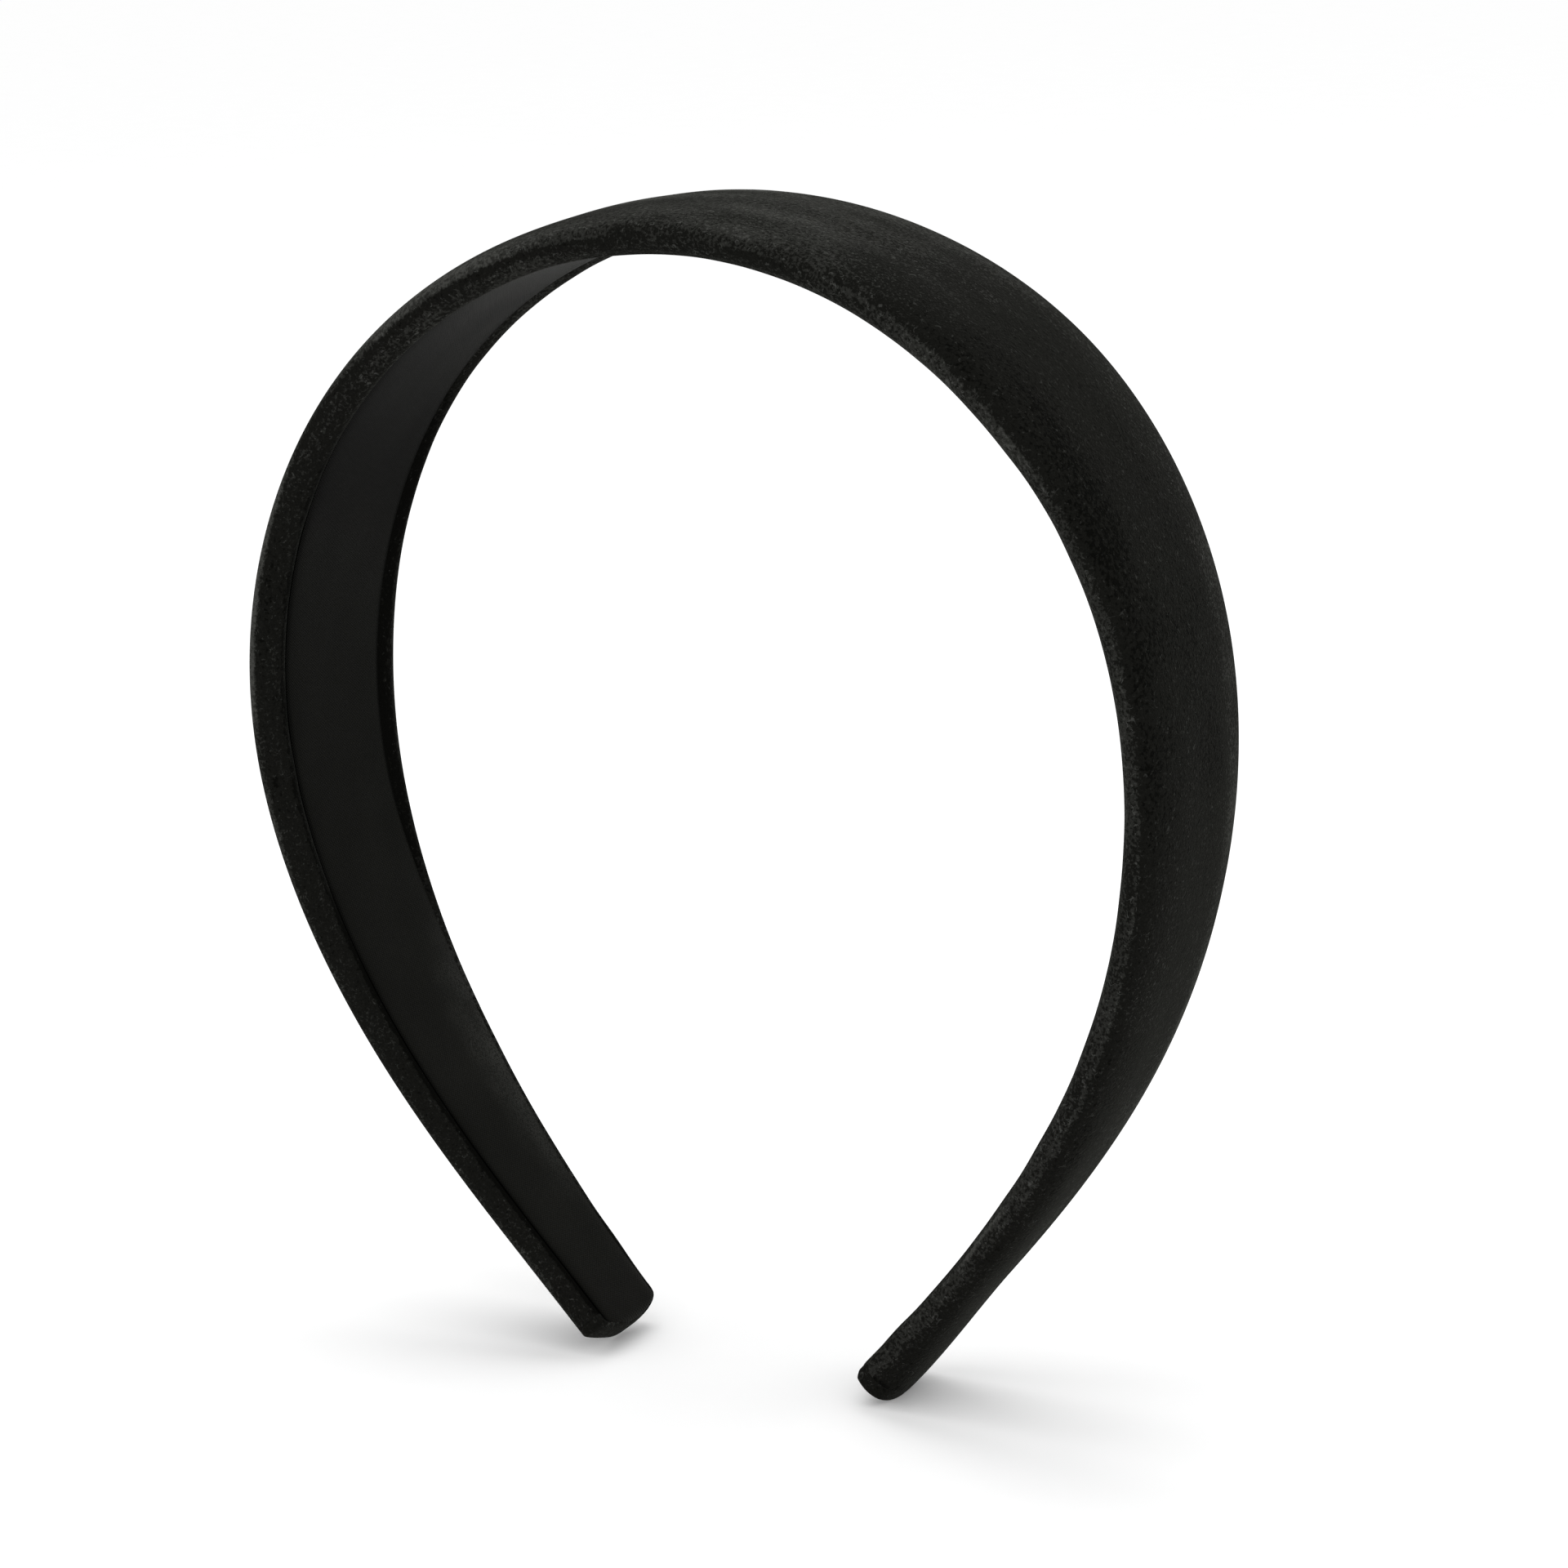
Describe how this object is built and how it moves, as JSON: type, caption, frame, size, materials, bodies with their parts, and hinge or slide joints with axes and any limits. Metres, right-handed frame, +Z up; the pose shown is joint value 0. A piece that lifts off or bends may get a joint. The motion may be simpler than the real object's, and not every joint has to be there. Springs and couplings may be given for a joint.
{
  "type": "headband",
  "caption": "Padded velvet-covered hair band: an open arch with tapered arms that spread on sprung flex lines and grip the head, lined with ribbon on the inside.",
  "frame": {"origin": "middle of the lining's head side at the crown, where the band rests on the head", "axes": "+Z up out of the crown, X from the left arm to the right arm, Y across the band's width, front at -Y"},
  "size_m": [0.1356, 0.0332, 0.1594],
  "materials": {
    "plastic_core": "moulded, semi-matt",
    "foam": "open-cell foam",
    "velvet": "short-pile velvet with a soft sheen",
    "ribbon": "fine-ribbed ribbon, satin",
    "tape": "double-sided adhesive tape"
  },
  "bodies": {
    "crown": {"core_crown": "plastic_core", "foam_tape_crown": "tape", "foam_pad_crown": "foam", "velvet_cover_crown": "velvet", "lining_tape_crown": "tape", "lining_crown": "ribbon"},
    "left_arm": {"core_left": "plastic_core", "foam_tape_left": "tape", "foam_pad_left": "foam", "velvet_cover_left": "velvet", "lining_tape_left": "tape", "lining_left": "ribbon", "tip_tab_left": "velvet"},
    "right_arm": {"core_right": "plastic_core", "foam_tape_right": "tape", "foam_pad_right": "foam", "velvet_cover_right": "velvet", "lining_tape_right": "tape", "lining_right": "ribbon", "tip_tab_right": "velvet"}
  },
  "joints": [
    {"name": "left_arm_flex", "type": "hinge", "parent": "crown", "child": "left_arm", "pos_m": [-0.06121, 0, -0.03328], "axis": [0, 1, 0], "range_deg": [-6, 25], "stiffness_Nm_per_rad": 0.12},
    {"name": "right_arm_flex", "type": "hinge", "parent": "crown", "child": "right_arm", "pos_m": [0.06121, 0, -0.03328], "axis": [0, -1, 0], "range_deg": [-6, 25], "stiffness_Nm_per_rad": 0.12}
  ]
}
